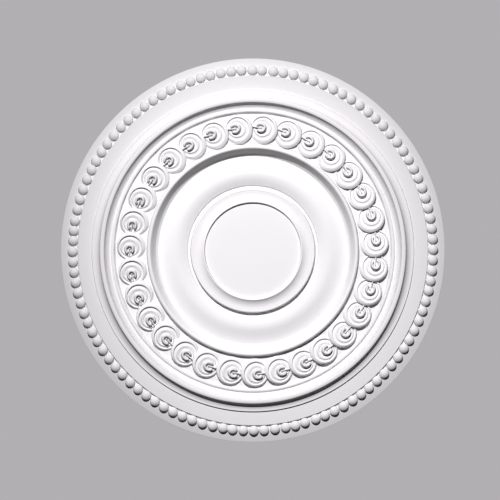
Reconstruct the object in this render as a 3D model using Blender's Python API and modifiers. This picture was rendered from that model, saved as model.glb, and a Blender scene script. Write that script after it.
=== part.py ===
"""A cast plaster ceiling rose, held up by its flat back.

The origin is the middle of the back, which lies against the ceiling at z = 0. The ornament faces down, towards -Z.
A radius runs out from the middle. A depth runs down from the ceiling, so a point at depth d has z = -d.
"""

import math

import bmesh
import bpy
from mathutils import Matrix, Vector

MM = 0.001

# Driving sizes, in millimetres
ROSE_RADIUS = 300
BODY_FACETS = 48
ARC_STEPS = 2

# Depths of the members below the ceiling
EDGE_DEPTH = 10.2
BEAD_FLOOR_DEPTH = 12.8
FASCIA_DEPTH = 16.2
COVE_FOOT_DEPTH = 19
CROWN_SPRING_DEPTH = 28.7
CREST_RISE = 1.2
INNER_FOOT_DEPTH = 19.5
ROLL_DEPTH = 22.2
COIN_GROUND_DEPTH = 16.4
FILLET_DEPTH = 18
HALF_ROUND_SPRING = 21
HALF_ROUND_RISE = 5.4
WALL_FOOT_DEPTH = 10
VALLEY_DEPTH = 7.4
WAVE_DEPTH = 14.6
GROOVE_DEPTH = 8.2
WAVE_FOOT_RISE = 1.8
LIP_DEPTH = 15.4
HOLLOW_DEPTH = 14.8
BOSS_RIM_DEPTH = 19.9
DISC_DEPTH = 16.4

# Radii where one member of the moulding meets the next
BEAD_FLOOR_OUTER = 286
FASCIA_OUTER = 273.2
FASCIA_INNER = 251.2
SIDE_LEAN = 0.6
COVE_FOOT = 249.6
CROWN_OUTER = 238.4
CROWN_INNER = 231.8
INNER_FOOT = 221.8
ROLL_OUTER = 220.4
ROLL_INNER = 216.6
COIN_GROUND_OUTER = 214.4
COIN_GROUND_INNER = 168.3
FILLET_RADIUS = 167.2
HALF_ROUND_RADIUS = 161.8
HALF_ROUND_WIDTH = 3.8
WALL_FOOT = 152.4
VALLEY_RADIUS = 147.6
WAVE_CREST = 120
WAVE_FOOT = 103.4
GROOVE_RADIUS = 101.6
LIP_OUTER = 98.6
LIP_INNER = 97.4
HOLLOW_FOOT = 90
HOLLOW_RADIUS = 18.4
BOSS_RIM = 76.4
DISC_EDGE = 74.6

# Row of beads, each sunk a little into its floor
BEADS = 108
BEAD_RING = 280.6
BEAD_RADIUS = 8
BEAD_SINK = 0.6
BEAD_SIDES = 5
BEAD_PHASE = math.radians(-0.3)

# Row of overlapping coins: each lies on its neighbour, and its leading side is tipped up
COINS = 31
COIN_RING = 191
COIN_RADIUS = 21.6
COIN_FACETS = 10
COIN_RISE = 5
COIN_TILT = math.radians(5.5)
COIN_RIM_WIDTH = 4.2
COIN_DISH = 2.2
COIN_PHASE = math.radians(-96.9)
SUNK = 5

# The knob stands nearer the coin's trailing side
KNOB_FOOT = 7.6
KNOB_TOP = 5.4
KNOB_RISE = 3.4
KNOB_BACK = 3.4
KNOB_OUT = 1

PLASTER_WHITE = (0.8, 0.795, 0.8, 1)
PLASTER_ROUGHNESS = 0.55


def arc(centre, semi_axes, start, stop, steps=ARC_STEPS):
    """Points (radius, depth) along an ellipse, from one angle to another in degrees, where 0 points outwards."""
    angles = (math.radians(start + (stop - start) * i / steps) for i in range(steps + 1))
    return [
        (centre[0] + semi_axes[0] * math.cos(a), centre[1] + semi_axes[1] * math.sin(a))
        for a in angles
    ]


def rim():
    """The outer edge, and a gentle slope from it down to the floor of the beads."""
    return [(ROSE_RADIUS, 0), (ROSE_RADIUS, EDGE_DEPTH), (BEAD_FLOOR_OUTER, BEAD_FLOOR_DEPTH)]


def fascia():
    """The wide flat band inside the beads, and the fine step at its inner side."""
    return [
        (FASCIA_OUTER + SIDE_LEAN, BEAD_FLOOR_DEPTH),
        (FASCIA_OUTER, FASCIA_DEPTH),
        (FASCIA_INNER, FASCIA_DEPTH),
        (FASCIA_INNER - SIDE_LEAN, COVE_FOOT_DEPTH),
    ]


def crown():
    """The deepest moulding: a cove on each side of a narrow rounded crest."""
    drop = CROWN_SPRING_DEPTH - COVE_FOOT_DEPTH
    outer_cove = arc((COVE_FOOT, CROWN_SPRING_DEPTH), (COVE_FOOT - CROWN_OUTER, drop), 270, 180)
    crest = arc(
        ((CROWN_OUTER + CROWN_INNER) / 2, CROWN_SPRING_DEPTH),
        ((CROWN_OUTER - CROWN_INNER) / 2, CREST_RISE),
        0,
        180,
    )
    inner_drop = CROWN_SPRING_DEPTH - INNER_FOOT_DEPTH
    inner_cove = arc(
        (INNER_FOOT, CROWN_SPRING_DEPTH), (CROWN_INNER - INNER_FOOT, inner_drop), 0, -90
    )
    return outer_cove + crest[1:] + inner_cove[1:]


def coin_ground():
    """The small roll and step outside the coins, then the flat ground that they lie on."""
    return [
        (ROLL_OUTER, ROLL_DEPTH),
        (ROLL_INNER, ROLL_DEPTH),
        (COIN_GROUND_OUTER, COIN_GROUND_DEPTH),
        (COIN_GROUND_INNER, COIN_GROUND_DEPTH),
    ]


def inner_moulding():
    """The fillet and half round inside the coins, and the steep side that falls to the valley."""
    half_round = arc(
        (HALF_ROUND_RADIUS, HALF_ROUND_SPRING), (HALF_ROUND_WIDTH, HALF_ROUND_RISE), 0, 140
    )
    return [(FILLET_RADIUS, FILLET_DEPTH)] + half_round + [(WALL_FOOT, WALL_FOOT_DEPTH)]


def wave():
    """The wide, shallow round between the valley and the groove, steeper on its inner side."""
    middle = (WAVE_CREST + WAVE_FOOT) / 2
    foot_depth = GROOVE_DEPTH + WAVE_FOOT_RISE
    fall = (WAVE_DEPTH - foot_depth) / 4
    return [
        (VALLEY_RADIUS, VALLEY_DEPTH),
        (WAVE_CREST, WAVE_DEPTH),
        (middle, WAVE_DEPTH - fall),
        (WAVE_FOOT, foot_depth),
    ]


def boss():
    """The groove, the lip, the hollow side and the narrow rim of the middle boss, down to its flat disc."""
    groove = [(GROOVE_RADIUS, GROOVE_DEPTH), (LIP_OUTER, GROOVE_DEPTH)]
    hollow = arc(
        (HOLLOW_FOOT, HOLLOW_DEPTH + HOLLOW_RADIUS), (HOLLOW_RADIUS, HOLLOW_RADIUS), 275, 227
    )
    rim_and_disc = [(BOSS_RIM, BOSS_RIM_DEPTH), (DISC_EDGE, DISC_DEPTH), (0, DISC_DEPTH)]
    return groove + [(LIP_INNER, LIP_DEPTH)] + hollow + rim_and_disc


def rose_profile():
    """The whole section, from the middle of the back round to the middle of the face."""
    return (
        [(0, 0)]
        + rim()
        + fascia()
        + crown()
        + coin_ground()
        + inner_moulding()
        + wave()
        + boss()
    )


def turned(name, profile, facets):
    """An object whose section is turned round Z, from points (radius, depth) in millimetres."""
    mesh = bpy.data.meshes.new(name)
    points = [(radius * MM, 0, -depth * MM) for radius, depth in profile]
    mesh.from_pydata(points, [(i, i + 1) for i in range(len(points) - 1)], [])
    made = bpy.data.objects.new(name, mesh)
    screw = made.modifiers.new("turn", "SCREW")
    screw.steps = screw.render_steps = facets
    screw.use_merge_vertices = True
    screw.merge_threshold = 0.00005
    return made


def bead_mesh():
    """A dome that stands down from z = 0, with its foot sunk above it."""
    mesh = bpy.data.meshes.new("bead")
    shape = bmesh.new()
    bmesh.ops.create_uvsphere(
        shape, u_segments=BEAD_SIDES, v_segments=4, radius=BEAD_RADIUS * MM
    )
    shape.to_mesh(mesh)
    shape.free()
    return mesh


def coin_mesh():
    """A dished coin with a raised rim and a knob, facing +Z, with its foot sunk below z = 0."""
    section = [
        (0, -SUNK - COIN_RISE),
        (COIN_RADIUS, -SUNK - COIN_RISE),
        (COIN_RADIUS, 0),
        (COIN_RADIUS - COIN_RIM_WIDTH, 0),
        (KNOB_FOOT, -COIN_DISH),
        (KNOB_TOP, KNOB_RISE - COIN_DISH),
        (0, KNOB_RISE - COIN_DISH),
    ]
    mesh = bpy.data.meshes.new("coin")
    shape = bmesh.new()
    points = [shape.verts.new((radius * MM, 0, height * MM)) for radius, height in section]
    edges = [shape.edges.new(pair) for pair in zip(points, points[1:])]
    bmesh.ops.spin(
        shape,
        geom=points + edges,
        cent=(0, 0, 0),
        axis=(0, 0, 1),
        angle=math.tau,
        steps=COIN_FACETS,
    )
    bmesh.ops.remove_doubles(shape, verts=shape.verts, dist=0.00005)
    bmesh.ops.recalc_face_normals(shape, faces=shape.faces)
    reach = (KNOB_FOOT + KNOB_BACK) * MM
    knob = [v for v in shape.verts if v.co.z > -SUNK * MM and v.co.xy.length < reach]
    bmesh.ops.translate(shape, verts=knob, vec=Vector((-KNOB_BACK, KNOB_OUT, 0)) * MM)
    shape.to_mesh(mesh)
    shape.free()
    return mesh


def on_ring(radius, angle, depth):
    return Matrix.Translation(
        Vector((radius * math.cos(angle), radius * math.sin(angle), -depth)) * MM
    )


def coin_place(index):
    """Where a coin lies: its X runs on round the ring, its Y outwards and its Z down, with its leading side lower."""
    angle = COIN_PHASE + math.tau * index / COINS
    along = Vector((-math.sin(angle), math.cos(angle), 0))
    outwards = Vector((math.cos(angle), math.sin(angle), 0))
    turn = Matrix((along, outwards, Vector((0, 0, -1)))).transposed().to_4x4()
    place = on_ring(COIN_RING, angle, COIN_GROUND_DEPTH + COIN_RISE)
    return place @ turn @ Matrix.Rotation(-COIN_TILT, 4, "Y")


def bead_place(index):
    angle = BEAD_PHASE + math.tau * index / BEADS
    return on_ring(BEAD_RING, angle, BEAD_FLOOR_DEPTH - BEAD_SINK) @ Matrix.Rotation(angle, 4, "Z")


def helpers(name, mesh, places, collection):
    """One helper object for each place. They are cast in one with the body, and aren't parts themselves."""
    for index, place in enumerate(places):
        made = bpy.data.objects.new(f"{name}_{index:03d}", mesh)
        made.matrix_world = place
        made.hide_render = True
        made.display_type = "WIRE"
        collection.objects.link(made)


def plaster():
    material = bpy.data.materials.new("plaster")
    material.use_nodes = True
    shader = material.node_tree.nodes["Principled BSDF"]
    shader.inputs["Base Color"].default_value = PLASTER_WHITE
    shader.inputs["Roughness"].default_value = PLASTER_ROUGHNESS
    return material


def new_collection(name):
    made = bpy.data.collections.new(name)
    bpy.context.scene.collection.children.link(made)
    return made


def build():
    for old in list(bpy.data.objects):
        bpy.data.objects.remove(old)
    parts = new_collection("ceiling_rose")
    cast_on = new_collection("cast_on")
    helpers("bead", bead_mesh(), [bead_place(i) for i in range(BEADS)], cast_on)
    helpers("coin", coin_mesh(), [coin_place(i) for i in range(COINS)], cast_on)

    rose = turned("rose", rose_profile(), BODY_FACETS)
    rose.data.materials.append(plaster())
    union = rose.modifiers.new("cast_in_one", "BOOLEAN")
    union.operation = "UNION"
    union.operand_type = "COLLECTION"
    union.collection = cast_on
    parts.objects.link(rose)


build()
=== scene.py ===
"""The looks of a cast plaster ceiling rose, seen from below as it hangs on its ceiling.

The flat back lies at z = 0 with its middle at the origin, and the ornament faces down, towards -Z.
Radii run out from the middle and depths run down from the ceiling, both in millimetres until a mesh is made.
"""

import math
import random

import bpy
from mathutils import Euler, Matrix, Vector

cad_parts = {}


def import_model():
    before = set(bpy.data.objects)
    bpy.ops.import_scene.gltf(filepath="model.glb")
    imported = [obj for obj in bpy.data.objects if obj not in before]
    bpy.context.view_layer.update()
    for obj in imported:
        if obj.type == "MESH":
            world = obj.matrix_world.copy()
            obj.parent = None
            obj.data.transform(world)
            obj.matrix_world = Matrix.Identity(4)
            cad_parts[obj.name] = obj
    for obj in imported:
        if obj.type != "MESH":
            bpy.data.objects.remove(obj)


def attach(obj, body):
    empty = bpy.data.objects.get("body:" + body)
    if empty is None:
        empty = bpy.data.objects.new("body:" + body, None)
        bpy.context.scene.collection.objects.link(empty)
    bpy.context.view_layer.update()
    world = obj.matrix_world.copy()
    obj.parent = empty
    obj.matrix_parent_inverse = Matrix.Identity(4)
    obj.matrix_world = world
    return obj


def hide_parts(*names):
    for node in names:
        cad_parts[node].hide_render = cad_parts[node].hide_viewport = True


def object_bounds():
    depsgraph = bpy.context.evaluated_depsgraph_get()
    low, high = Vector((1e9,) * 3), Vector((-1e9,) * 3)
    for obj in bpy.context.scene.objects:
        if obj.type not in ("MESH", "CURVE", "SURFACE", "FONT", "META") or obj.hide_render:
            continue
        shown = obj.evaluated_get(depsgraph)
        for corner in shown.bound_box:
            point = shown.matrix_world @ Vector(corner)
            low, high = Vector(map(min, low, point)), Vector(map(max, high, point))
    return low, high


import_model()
CAD_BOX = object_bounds()

MM = 0.001
ROSE_RADIUS = CAD_BOX[1][0] / MM
TURN_STEPS = 216
BACK_RING = 150
ARRIS_TURN = math.radians(28)
ARRIS_ROUND = 0.35
WELD = 0.00001

# Depths of the members below the ceiling
EDGE_DEPTH = 8.8
BEAD_FLOOR_DEPTH = 12.3
FASCIA_DEPTH = 16.2
COVE_FOOT_DEPTH = 19
CREST_DEPTH = 29.9
INNER_FOOT_DEPTH = 18.1
ROLL_DEPTH = 21.3
GROUND_DEPTH = 15.7
GROUND_INNER_DEPTH = 18.6
HALF_ROUND_DEPTH = 26.4
WAVE_DEPTH = 14.6
GROOVE_DEPTH = 6.9
LIP_DEPTH = 15.4
HOLLOW_DEPTH = 14.8
BOSS_RIM_DEPTH = 20
DISC_DEPTH = 16.4

# Radii where one member meets the next
BEAD_FLOOR_OUTER = 284
FASCIA_OUTER = 273.2
FASCIA_INNER = 251.2
COVE_FOOT = 249.6
CREST_OUTER = 238.4
CREST_INNER = 231.8
INNER_FOOT = 222
GROUND_OUTER = 214.4
GROUND_INNER = 168.3
HALF_ROUND_RADIUS = 161.8
VALLEY_RADIUS = 147.6
WAVE_CREST = 120
GROOVE_RADIUS = 101.4
LIP_CREST = 94.8
HOLLOW_RADIUS = 89.2
BOSS_RIM = 76.6
DISC_EDGE = 74.6

BEADS = 108
BEAD_RING = 281.5
BEAD_RADIUS = 8
BEAD_FLATNESS = 0.7
BEAD_LIFT = 0.4
BEAD_PHASE = math.radians(-0.3)

COINS = 31
COIN_RING = 190.2
COIN_RADIUS = 22.3
COIN_RISE = 8
COIN_TILT = math.radians(9)
COIN_PHASE = math.radians(-96.9)
COIN_STEPS = 52
COIN_FOOT = 9.4
COIN_SHOULDER = -3.3
COIN_FIELD = -3
COIN_CENTRE = 3
CURL_BACK = 3
CURL_OUT = 2.4
CURL_REACH = 8
CURL_RADIUS = 5.7
CURL_HALF_WIDTH = 2.7
CURL_STRETCH = 0.9
CURL_RISE = 3.1
CURL_START = 165
CURL_SWEEP = 310
STEM_START = -14.6
STEM_LENGTH = 16.6
STEM_HALF_WIDTH = 1.3
STEM_RISE = 4.6
STEM_SIDEWAYS = -0.4
KNOB_PLACE = 0.2
KNOB_SWELL = 0.4

# The camera looks up from below, from a little towards the reference view's top
FRAME_WIDTH = 781.5
SENSOR_WIDTH = 36
CAMERA_DISTANCE = 5200
CAMERA_UP = math.radians(2)
AIM = Vector((-4.5, -1, -10))

# The key light falls from the reference view's top, and a weak sun lights the back
LIGHT_BEARING = math.radians(101)
LIGHT_HEIGHT = math.radians(57)
LIGHT_DISTANCE = 4600
KEY_POWER = 1130
KEY_COLOUR = (1, 0.976, 1)
KEY_SPREAD = math.radians(13)
KEY_OFFSET = 38
BACK_LIGHT = 3.2
SURROUND_LIGHT = 0.025
CONTRAST = 0.78
BACKDROP = (0.531, 0.516, 0.531, 1)


def ellipse(centre, semi_axes, start, stop, steps):
    """Points (radius, depth) along an ellipse, between two angles in degrees, where 0 points outwards."""
    angles = (math.radians(start + (stop - start) * i / steps) for i in range(steps + 1))
    return [
        (centre[0] + semi_axes[0] * math.cos(a), centre[1] + semi_axes[1] * math.sin(a))
        for a in angles
    ]


def rim():
    """The outer edge, and the gentle slope that rises from it to the beads."""
    middle = (292, 10.6)
    foot_of_beads = (BEAD_FLOOR_OUTER, 12.1)
    return [(ROSE_RADIUS, 0), (ROSE_RADIUS, EDGE_DEPTH), middle, foot_of_beads]


def fascia():
    """The floor under the beads, the wide flat band inside them and the fine step at its inner side."""
    floor_slope = 3
    outer_batter = 0.8
    inner_batter = 0.6
    return [
        (BEAD_FLOOR_OUTER - floor_slope, BEAD_FLOOR_DEPTH),
        (FASCIA_OUTER + outer_batter, BEAD_FLOOR_DEPTH),
        (FASCIA_OUTER, FASCIA_DEPTH),
        (FASCIA_INNER + inner_batter, FASCIA_DEPTH),
        (FASCIA_INNER, COVE_FOOT_DEPTH),
    ]


def crown():
    """The deepest moulding: a cove on each side of a narrow rounded crest."""
    outer_radius = 11.4
    inner_radius = 15.3
    outer_cove = ellipse(
        (COVE_FOOT, COVE_FOOT_DEPTH + outer_radius), (outer_radius, outer_radius), 270, 193, 11
    )
    crest_round = 1.2
    crest_middle = (CREST_OUTER + CREST_INNER) / 2
    crest_half_width = (CREST_OUTER - CREST_INNER) / 2
    crest = ellipse(
        (crest_middle, CREST_DEPTH - crest_round), (crest_half_width, crest_round), 0, 180, 10
    )
    inner_centre = (216.95, 32.4)
    inner_cove = ellipse(inner_centre, (inner_radius, inner_radius), -14, -65, 8)
    inner_cove.append((INNER_FOOT, INNER_FOOT_DEPTH))
    return outer_cove + crest + inner_cove


def ground():
    """The small roll and step outside the coins, then the ground under them, deeper at its inner side."""
    roll_radius = 218.5
    roll_half_width = 2.4
    roll_height = 1.8
    roll = ellipse(
        (roll_radius, ROLL_DEPTH - roll_height), (roll_half_width, roll_height), 10, 150, 7
    )
    roll_foot = (GROUND_OUTER + 2.2, ROLL_DEPTH - 1.3)
    return roll + [roll_foot, (GROUND_OUTER, GROUND_DEPTH), (GROUND_INNER, GROUND_INNER_DEPTH)]


def inner_moulding():
    """The channel and half round inside the coins, then the steep side between them and the valley."""
    channel = [(GROUND_INNER - 0.4, GROUND_DEPTH + 1.4), (GROUND_INNER - 2.2, GROUND_DEPTH + 1.6)]
    height = 5.4
    half_width = 3.8
    half_round = ellipse(
        (HALF_ROUND_RADIUS, HALF_ROUND_DEPTH - height), (half_width, height), 0, 140, 11
    )
    steep_side = [(157.2, 21), (152.6, 10.8)]
    valley_edge = [(150.8, 8.8), (149.2, 7.9)]
    return channel + half_round + steep_side + valley_edge


def wave():
    """The wide, shallow round between valley and groove: a long even fall outside, a short one inside."""
    outer_slope = 0.375
    crest_round = 6.5
    outer = []
    for i in range(13):
        x = (VALLEY_RADIUS - WAVE_CREST) * (1 - i / 12)
        outer.append((WAVE_CREST + x, WAVE_DEPTH - outer_slope * (math.hypot(x, crest_round) - crest_round)))
    groove_side = 1.2
    width = WAVE_CREST - GROOVE_RADIUS - groove_side
    inner_bend = 0.0157
    inner = []
    for i in range(1, 10):
        x = width * i / 9
        inner.append((WAVE_CREST - x, WAVE_DEPTH - inner_bend * x * x))
    return outer + inner


def boss():
    """The groove, the lip, the hollow side and the narrow rim of the middle boss, then its flat disc."""
    hollow_size = 17.4
    groove_inner = 98
    groove = [(GROOVE_RADIUS, GROOVE_DEPTH), (groove_inner, GROOVE_DEPTH)]
    lip_outer = 96.7
    lip_half_width = 2
    lip_height = 1.3
    lip = [(lip_outer, LIP_DEPTH - 1.4)]
    lip += ellipse((LIP_CREST, LIP_DEPTH - lip_height), (lip_half_width, lip_height), 10, 150, 7)
    hollow = ellipse(
        (HOLLOW_RADIUS, HOLLOW_DEPTH + hollow_size), (hollow_size, hollow_size), 281, 227, 12
    )
    rim_half_width = 1.1
    rim_height = 0.8
    rim_round = ellipse(
        (BOSS_RIM, BOSS_RIM_DEPTH - rim_height), (rim_half_width, rim_height), 30, 170, 6
    )
    disc_fall = 0.8
    disc = []
    for i in range(7):
        radius = DISC_EDGE * (1 - i / 7)
        disc.append((radius, DISC_DEPTH - disc_fall * (radius / DISC_EDGE) ** 4))
    return groove + lip + hollow + rim_round + disc + [(0, DISC_DEPTH)]


def softened(points):
    """The section with each sharp corner cut back to a small round, as a cast arris is."""
    soft = [points[0]]
    for before, here, after in zip(points, points[1:], points[2:]):
        to_before = Vector(before) - Vector(here)
        to_after = Vector(after) - Vector(here)
        turn = math.pi - to_before.angle(to_after)
        if turn < ARRIS_TURN:
            soft.append(here)
            continue
        cut = min(ARRIS_ROUND, to_before.length * 0.4, to_after.length * 0.4)
        start = Vector(here) + to_before.normalized() * cut
        stop = Vector(here) + to_after.normalized() * cut
        middle = (start + stop) * 0.25 + Vector(here) * 0.5
        soft += [tuple(start), tuple(middle), tuple(stop)]
    return soft + [points[-1]]


def select_none():
    for one in bpy.context.selected_objects:
        one.select_set(False)


def edit(select="SELECT"):
    bpy.ops.object.mode_set(mode="EDIT")
    bpy.ops.mesh.select_all(action=select)


def name_piece(name):
    """Names the piece just modelled, and puts its place into its mesh."""
    bpy.ops.object.mode_set(mode="OBJECT")
    bpy.ops.object.transform_apply(location=True, rotation=True, scale=True)
    piece = bpy.context.object
    piece.name = piece.data.name = name
    return piece


def turned_piece(name, section, steps):
    """One point drawn out along the section, then spun round Z and closed on it."""
    path = [Vector((radius, 0, -depth)) * MM for radius, depth in section]
    select_none()
    bpy.ops.mesh.primitive_plane_add(size=MM, location=path[0])
    edit()
    bpy.ops.mesh.merge(type="CENTER")
    for here, following in zip(path, path[1:]):
        bpy.ops.mesh.extrude_region_move(TRANSFORM_OT_translate={"value": following - here})
    bpy.ops.mesh.select_all(action="SELECT")
    bpy.ops.mesh.spin(steps=steps, angle=math.tau, center=(0, 0, 0), axis=(0, 0, 1))
    bpy.ops.mesh.select_all(action="SELECT")
    bpy.ops.mesh.remove_doubles(threshold=WELD)
    bpy.ops.mesh.normals_make_consistent(inside=False)
    return name_piece(name)


def rose_body():
    """The turned body, from the middle of the back round the edge to the middle of the face."""
    section = [(0, 0), (BACK_RING, 0)] + rim() + fascia() + crown() + ground()
    section += inner_moulding() + wave() + boss()
    return turned_piece("rose_body", softened(section), TURN_STEPS)


def bead():
    """One flattened bead, standing along +Z from a foot that is sunk below z = 0."""
    cut_below_middle = 0.5
    foot = 2
    select_none()
    bpy.ops.mesh.primitive_uv_sphere_add(segments=18, ring_count=10, radius=BEAD_RADIUS * MM)
    bpy.ops.transform.resize(value=(1, 1, BEAD_FLATNESS))
    bpy.ops.object.transform_apply(location=False, rotation=False, scale=True)
    edit()
    bpy.ops.mesh.bisect(
        plane_co=(0, 0, -cut_below_middle * MM), plane_no=(0, 0, 1), use_fill=True, clear_inner=True
    )
    bpy.ops.mesh.extrude_region_move(TRANSFORM_OT_translate={"value": (0, 0, -foot * MM)})
    bpy.ops.mesh.select_all(action="SELECT")
    bpy.ops.mesh.normals_make_consistent(inside=False)
    return name_piece("bead")


def coin_rim():
    """A coin's rim from its edge inwards: each ring's radius and height."""
    return [(21.9, -2.8), (21.1, -1.8), (20, -1.1), (18.8, -0.5), (18.3, -0.7)]


def coin_dish():
    """The face inside a coin's rim: a groove, a fine ring and the dish round the curl."""
    groove = [(17.5, -3.6), (16.8, -3.9), (15.3, -3.2), (14.2, -2.6)]
    inner_ring = [(13.4, -1.1), (12.6, -0.9), (11.6, -1.3)]
    dish = [(10, -2.2), (8.8, COIN_FIELD), (6.2, COIN_FIELD), (5.2, COIN_FIELD + 2.3)]
    return groove + inner_ring + dish


def coin_shift(radius):
    """How far a ring of a coin lies off the coin's middle, up to the curl's own shift for the smallest."""
    edge = min(max(radius - CURL_REACH, 0) / (COIN_RADIUS - CURL_REACH), 1)
    return Vector((-CURL_BACK * (1 - edge**0.8), CURL_OUT * (1 - edge**2.5), 0))


def inset_to(here, radius, height):
    """Insets the chosen face to another radius, height and place, and gives back where it got to."""
    bpy.ops.mesh.inset(thickness=(here[0] - radius) * MM, depth=0)
    move = coin_shift(radius) - coin_shift(here[0]) + Vector((0, 0, height - here[1]))
    bpy.ops.transform.translate(value=move * MM)
    return radius, height


def coin():
    """One dished coin with a raised rim, a fine ring and a curl, facing +Z with its rim near z = 0."""
    select_none()
    bpy.ops.mesh.primitive_cylinder_add(
        vertices=COIN_STEPS,
        radius=COIN_RADIUS * MM,
        depth=COIN_FOOT * MM,
        location=(0, 0, (COIN_SHOULDER - COIN_FOOT / 2) * MM),
    )
    edit("DESELECT")
    bpy.ops.mesh.select_mode(type="FACE")
    bpy.ops.object.mode_set(mode="OBJECT")
    for face in bpy.context.object.data.polygons:
        face.select = face.normal.z > 0.9
    bpy.ops.object.mode_set(mode="EDIT")
    here = (COIN_RADIUS, COIN_SHOULDER)
    for radius, height in coin_rim() + coin_dish():
        here = inset_to(here, radius, height)
    bpy.ops.mesh.inset(thickness=COIN_CENTRE * MM, depth=0)
    bpy.ops.mesh.poke()
    bpy.ops.mesh.select_all(action="SELECT")
    bpy.ops.mesh.normals_make_consistent(inside=False)
    made = name_piece("coin")
    cast_together(made, [curl_ring(), curl_stem()])
    return made


def ridge_along(name, path, height):
    """A rounded ridge on a coin's field, along a path of (x, y, half width) in millimetres."""
    curve = bpy.data.curves.new(name, "CURVE")
    curve.dimensions = "3D"
    curve.bevel_depth = MM
    curve.bevel_resolution = 3
    curve.use_fill_caps = True
    spline = curve.splines.new("POLY")
    spline.points.add(len(path) - 1)
    for point, (x, y, half_width) in zip(spline.points, path):
        point.co = (x * MM, y * MM, 0, 1)
        point.radius = half_width
    ridge = bpy.data.objects.new(name, curve)
    bpy.context.scene.collection.objects.link(ridge)
    select_none()
    bpy.context.view_layer.objects.active = ridge
    ridge.select_set(True)
    bpy.ops.object.convert(target="MESH")
    edit()
    bpy.ops.mesh.remove_doubles(threshold=WELD)
    bpy.ops.mesh.normals_make_consistent(inside=False)
    bpy.ops.transform.resize(value=(1, 1, height))
    bpy.ops.transform.translate(value=(-CURL_BACK * MM, CURL_OUT * MM, COIN_FIELD * MM))
    return name_piece(name)


def rounded(share, ends):
    """How far a ridge has swelled at this share of its length, each end being rounded over a share of it."""
    nearest = min(share, 1 - share) / ends
    return math.sqrt(max(1 - (1 - min(nearest, 1)) ** 2, 0.04))


def curl_ring():
    """The open ring of the curl, from above the stem clockwise round to below it."""
    path = []
    for i in range(25):
        angle = math.radians(CURL_START - CURL_SWEEP * i / 24)
        half_width = CURL_HALF_WIDTH * rounded(i / 24, 0.08)
        x = CURL_RADIUS * math.cos(angle) - CURL_STRETCH * (1 - math.cos(angle))
        path.append((x, CURL_RADIUS * math.sin(angle), half_width))
    return ridge_along("curl_ring", path, CURL_RISE)


def curl_stem():
    """The stem of the curl, from the neighbour's rim to a small knob in the middle of the ring."""
    path = []
    for i in range(13):
        x = STEM_START + STEM_LENGTH * i / 12
        knob = KNOB_SWELL * math.exp(-((x - KNOB_PLACE) ** 2) / 2)
        path.append((x, STEM_SIDEWAYS, STEM_HALF_WIDTH * rounded(i / 12, 0.06) + knob))
    return ridge_along("curl_stem", path, STEM_RISE)


def cast_together(piece, others):
    """Casts other shapes in one with a piece, each of them closed and sunk into it."""
    mould = bpy.data.collections.new("mould")
    for other in others:
        mould.objects.link(other)
    union = piece.modifiers.new("cast_in_one", "BOOLEAN")
    union.operation = "UNION"
    union.solver = "MANIFOLD"
    union.operand_type = "COLLECTION"
    union.collection = mould
    select_none()
    bpy.context.view_layer.objects.active = piece
    piece.select_set(True)
    bpy.ops.object.modifier_apply(modifier=union.name)
    for other in others:
        bpy.data.objects.remove(other)
    bpy.data.collections.remove(mould)


def copies_of(pattern, name, places):
    """A copy of the pattern at each place, each with its own mesh."""
    made = []
    for place in places:
        copy = bpy.data.objects.new(name, pattern.data.copy())
        copy.data.transform(place)
        bpy.context.scene.collection.objects.link(copy)
        made.append(copy)
    bpy.data.objects.remove(pattern)
    return made


def facing_down(radius, angle, depth):
    """A place on a ring: X runs on round the ring, Y outwards and Z down."""
    along = Vector((-math.sin(angle), math.cos(angle), 0))
    outwards = Vector((math.cos(angle), math.sin(angle), 0))
    turn = Matrix((along, outwards, Vector((0, 0, -1)))).transposed().to_4x4()
    return Matrix.Translation((outwards * radius + Vector((0, 0, -depth))) * MM) @ turn


def bead_places():
    """The beads, set out by eye: no two gaps are quite alike."""
    hand = random.Random(7)
    places = []
    for index in range(BEADS):
        angle = BEAD_PHASE + math.tau * index / BEADS + math.radians(hand.gauss(0, 0.09))
        radius = BEAD_RING + hand.gauss(0, 0.15)
        size = Matrix.Scale(1 + hand.gauss(0, 0.012), 4)
        places.append(facing_down(radius, angle, BEAD_FLOOR_DEPTH + BEAD_LIFT) @ size)
    return places


def coin_places():
    """The coins, each tilted so that its edge lies over the next one, and a little uneven."""
    hand = random.Random(5)
    places = []
    for index in range(COINS):
        angle = COIN_PHASE + math.tau * index / COINS + math.radians(hand.gauss(0, 0.12))
        turn = Matrix.Rotation(math.radians(hand.gauss(0, 1.5)), 4, "Z")
        tilt = Matrix.Rotation(-COIN_TILT, 4, "Y")
        places.append(facing_down(COIN_RING, angle, GROUND_DEPTH + COIN_RISE) @ tilt @ turn)
    return places


def add_node(tree, kind, inputs=(), **settings):
    """A node with its settings, whose inputs are given as values or as sockets to link from."""
    node = tree.nodes.new(kind)
    for name, value in settings.items():
        setattr(node, name, value)
    for name, value in inputs:
        if isinstance(value, bpy.types.NodeSocket):
            tree.links.new(value, node.inputs[name])
        else:
            node.inputs[name].default_value = value
    return node


def scaled(tree, value, low, high, to_low, to_high):
    """The value with its low to high range stretched over another."""
    inputs = [(0, value), (1, low), (2, high), (3, to_low), (4, to_high)]
    return add_node(tree, "ShaderNodeMapRange", inputs).outputs[0]


def arithmetic(tree, operation, first, second):
    return add_node(tree, "ShaderNodeMath", [(0, first), (1, second)], operation=operation).outputs[0]


def noise(tree, place, scale, detail):
    inputs = [("Vector", place), ("Scale", scale), ("Detail", detail)]
    return add_node(tree, "ShaderNodeTexNoise", inputs).outputs["Fac"]


def mixed_colour(tree, share, first, second):
    inputs = [(0, share), (6, first), (7, second)]
    return add_node(tree, "ShaderNodeMix", inputs, data_type="RGBA").outputs[2]


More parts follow.
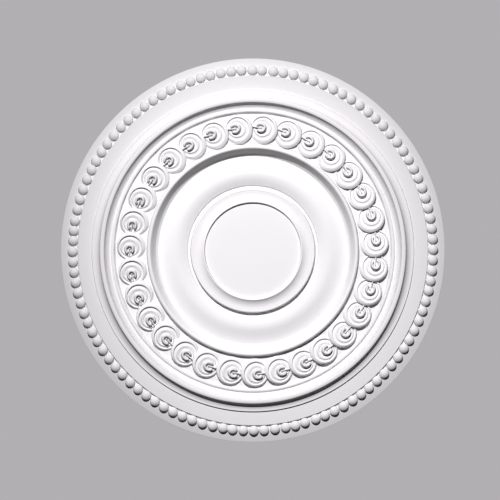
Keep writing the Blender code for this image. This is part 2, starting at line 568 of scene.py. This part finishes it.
def plaster_surface():
    """Set plaster: a faint mottle, slight unevenness, fine grain and a few pinholes left by air, with
    painted shade darkening the pinholes.
    """
    tree = bpy.data.node_groups.new("plaster_surface", "ShaderNodeTree")
    for name, kind in (
        ("Light Colour", "NodeSocketColor"),
        ("Dark Colour", "NodeSocketColor"),
        ("Mottle", "NodeSocketFloat"),
        ("Unevenness", "NodeSocketFloat"),
        ("Grain", "NodeSocketFloat"),
        ("Pinholes", "NodeSocketFloat"),
    ):
        tree.interface.new_socket(name=name, in_out="INPUT", socket_type=kind)
    for name, kind in (
        ("Colour", "NodeSocketColor"),
        ("Roughness", "NodeSocketFloat"),
        ("Height", "NodeSocketFloat"),
    ):
        tree.interface.new_socket(name=name, in_out="OUTPUT", socket_type=kind)
    given = add_node(tree, "NodeGroupInput").outputs
    place = add_node(tree, "ShaderNodeTexCoord").outputs["Object"]

    cloud = scaled(tree, noise(tree, place, 11, 4), 0.3, 0.7, 0, 1)
    speck = scaled(tree, noise(tree, place, 190, 3), 0.35, 0.7, 0, 1)
    broad = arithmetic(tree, "MULTIPLY", cloud, 0.65)
    fine = arithmetic(tree, "MULTIPLY", speck, 0.35)
    mottle = arithmetic(tree, "ADD", broad, fine)

    cells = add_node(tree, "ShaderNodeTexVoronoi", [("Vector", place), ("Scale", 130)])
    pit = scaled(tree, cells.outputs["Distance"], 0.03, 0.075, 1, 0)
    where = scaled(tree, noise(tree, place, 45, 1), 0.54, 0.6, 0, 1)
    pinhole = arithmetic(tree, "MULTIPLY", arithmetic(tree, "MULTIPLY", pit, where), given["Pinholes"])

    share = arithmetic(tree, "MULTIPLY", mottle, given["Mottle"])
    # The pinholes are also made darker in colour: painted shade in the small pits, besides their real dip in
    # height below.
    share = arithmetic(tree, "ADD", share, arithmetic(tree, "MULTIPLY", pinhole, 0.7))
    colour = mixed_colour(tree, share, given["Light Colour"], given["Dark Colour"])

    swell = arithmetic(tree, "MULTIPLY", noise(tree, place, 26, 2), given["Unevenness"])
    grain = arithmetic(tree, "MULTIPLY", noise(tree, place, 1500, 2), given["Grain"])
    height = arithmetic(tree, "SUBTRACT", arithmetic(tree, "ADD", swell, grain), pinhole)
    add_node(
        tree,
        "NodeGroupOutput",
        [("Colour", colour), ("Roughness", scaled(tree, mottle, 0, 1, 0.52, 0.68)), ("Height", height)],
    )
    return tree


def cast_plaster(group):
    """The moulded face: smooth white plaster, as it came out of the mould."""
    material = bpy.data.materials.new("cast_plaster")
    material.use_nodes = True
    tree = material.node_tree
    shader = tree.nodes["Principled BSDF"]
    surface = add_node(tree, "ShaderNodeGroup", node_tree=group)
    surface.inputs["Light Colour"].default_value = (0.74, 0.735, 0.74, 1)
    surface.inputs["Dark Colour"].default_value = (0.66, 0.65, 0.65, 1)
    surface.inputs["Mottle"].default_value = 0.3
    surface.inputs["Unevenness"].default_value = 0.3
    surface.inputs["Grain"].default_value = 0.05
    surface.inputs["Pinholes"].default_value = 0.6
    bump = add_node(tree, "ShaderNodeBump", [("Height", surface.outputs["Height"]), ("Distance", 0.0003)])
    tree.links.new(surface.outputs["Colour"], shader.inputs["Base Color"])
    tree.links.new(surface.outputs["Roughness"], shader.inputs["Roughness"])
    tree.links.new(bump.outputs["Normal"], shader.inputs["Normal"])
    return material


def struck_off_plaster(group):
    """The back: plaster struck off flat over hessian, whose weave shows in places, with trowel marks."""
    material = bpy.data.materials.new("struck_off_plaster")
    material.use_nodes = True
    tree = material.node_tree
    shader = tree.nodes["Principled BSDF"]
    surface = add_node(tree, "ShaderNodeGroup", node_tree=group)
    surface.inputs["Light Colour"].default_value = (0.74, 0.725, 0.7, 1)
    surface.inputs["Dark Colour"].default_value = (0.56, 0.53, 0.48, 1)
    surface.inputs["Mottle"].default_value = 0.7
    surface.inputs["Unevenness"].default_value = 1
    surface.inputs["Grain"].default_value = 0.12
    surface.inputs["Pinholes"].default_value = 1
    place = add_node(tree, "ShaderNodeTexCoord").outputs["Object"]

    threads = []
    for direction in ("X", "Y"):
        inputs = [("Vector", place), ("Scale", 120), ("Distortion", 1.2), ("Detail Scale", 0.3)]
        wave = add_node(tree, "ShaderNodeTexWave", inputs, bands_direction=direction)
        threads.append(wave.outputs["Fac"])
    near = scaled(tree, noise(tree, place, 7, 3), 0.5, 0.62, 0, 1)
    weave = arithmetic(tree, "MULTIPLY", arithmetic(tree, "MAXIMUM", *threads), near)

    inputs = [("Vector", place), ("Rotation", (0, 0, 0.6)), ("Scale", (1, 14, 1))]
    turned = add_node(tree, "ShaderNodeMapping", inputs)
    strokes = scaled(tree, noise(tree, turned.outputs["Vector"], 9, 3), 0.35, 0.65, 0, 1)

    height = arithmetic(tree, "ADD", surface.outputs["Height"], arithmetic(tree, "MULTIPLY", weave, 0.8))
    height = arithmetic(tree, "ADD", height, arithmetic(tree, "MULTIPLY", strokes, 0.5))
    thread_colour = (0.5, 0.44, 0.35, 1)
    showing = arithmetic(tree, "MULTIPLY", weave, 0.35)
    colour = mixed_colour(tree, showing, surface.outputs["Colour"], thread_colour)
    bump = add_node(tree, "ShaderNodeBump", [("Height", height), ("Distance", 0.0005)])
    tree.links.new(colour, shader.inputs["Base Color"])
    shader.inputs["Roughness"].default_value = 0.8
    tree.links.new(bump.outputs["Normal"], shader.inputs["Normal"])
    return material


def shade(piece):
    select_none()
    bpy.context.view_layer.objects.active = piece
    piece.select_set(True)
    bpy.ops.object.shade_smooth_by_angle(angle=math.radians(40))
    weighted = piece.modifiers.new("flat_faces_first", "WEIGHTED_NORMAL")
    weighted.keep_sharp = True
    weighted.weight = 90
    bpy.ops.object.modifier_apply(modifier=weighted.name)


def make_rose():
    body = rose_body()
    others = copies_of(bead(), "bead", bead_places()) + copies_of(coin(), "coin", coin_places())
    cast_together(body, others)
    body.name = "cast_rose"
    group = plaster_surface()
    body.data.materials.append(cast_plaster(group))
    body.data.materials.append(struck_off_plaster(group))
    for face in body.data.polygons:
        face.material_index = int(face.normal.z > 0.9)
    shade(body)
    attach(body, "root")
    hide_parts("rose")
    return body


def reference_direction(right, up, out):
    """A direction in the reference view, turned into the rose's frame: its up is -Y, out of it is -Z."""
    return Vector((right, -up, -out)).normalized()


def camera():
    data = bpy.data.cameras.new("camera")
    data.sensor_width = SENSOR_WIDTH
    data.lens = SENSOR_WIDTH * CAMERA_DISTANCE / FRAME_WIDTH
    made = bpy.data.objects.new("camera", data)
    bpy.context.scene.collection.objects.link(made)
    away = reference_direction(0, math.tan(CAMERA_UP), 1)
    made.location = (AIM + away * CAMERA_DISTANCE) * MM
    upwards = Vector((0, -1, 0))
    across = upwards.cross(away).normalized()
    made.rotation_euler = Matrix((across, away.cross(across), away)).transposed().to_euler()
    bpy.context.scene.camera = made


def lights():
    key = bpy.data.lights.new("key", "SPOT")
    key.energy = KEY_POWER
    key.color = KEY_COLOUR
    key.spot_size = KEY_SPREAD
    key.spot_blend = 1
    key.shadow_soft_size = 0.06
    lamp = bpy.data.objects.new("key", key)
    towards = reference_direction(
        math.cos(LIGHT_BEARING) * math.cos(LIGHT_HEIGHT),
        math.sin(LIGHT_BEARING) * math.cos(LIGHT_HEIGHT),
        math.sin(LIGHT_HEIGHT),
    )
    lamp.location = towards * LIGHT_DISTANCE * MM
    aim = reference_direction(0.5, -1, 0) * KEY_OFFSET * MM
    lamp.rotation_euler = (lamp.location - aim).to_track_quat("Z", "Y").to_euler()
    bpy.context.scene.collection.objects.link(lamp)

    above = bpy.data.lights.new("above", "SUN")
    above.energy = BACK_LIGHT
    above.angle = math.radians(40)
    sun = bpy.data.objects.new("above", above)
    sun.rotation_euler = Euler((math.radians(25), math.radians(-20), 0))
    bpy.context.scene.collection.objects.link(sun)


def world():
    """A plain grey surround that the camera sees, and a dimmer one that lights the plaster."""
    made = bpy.data.worlds.new("surround")
    made.use_nodes = True
    nodes, links = made.node_tree.nodes, made.node_tree.links
    seen = nodes["Background"]
    seen.inputs["Color"].default_value = BACKDROP
    dim = nodes.new("ShaderNodeBackground")
    dim.inputs["Color"].default_value = (1, 1, 1, 1)
    dim.inputs["Strength"].default_value = SURROUND_LIGHT
    pick = nodes.new("ShaderNodeMixShader")
    path = nodes.new("ShaderNodeLightPath")
    links.new(path.outputs["Is Camera Ray"], pick.inputs["Fac"])
    links.new(dim.outputs["Background"], pick.inputs[1])
    links.new(seen.outputs["Background"], pick.inputs[2])
    links.new(pick.outputs["Shader"], nodes["World Output"].inputs["Surface"])
    bpy.context.scene.world = made
    bpy.context.scene.view_settings.view_transform = "Standard"
    bpy.context.scene.view_settings.gamma = CONTRAST


def floor():
    select_none()
    bpy.ops.mesh.primitive_plane_add(size=60, location=(0, 0, -6))
    made = bpy.context.object
    made.name = "floor"
    made.visible_diffuse = False
    pale = bpy.data.materials.new("pale_floor")
    pale.use_nodes = True
    pale.node_tree.nodes["Principled BSDF"].inputs["Base Color"].default_value = (0.6, 0.6, 0.6, 1)
    made.data.materials.append(pale)


make_rose()
camera()
lights()
world()
floor()
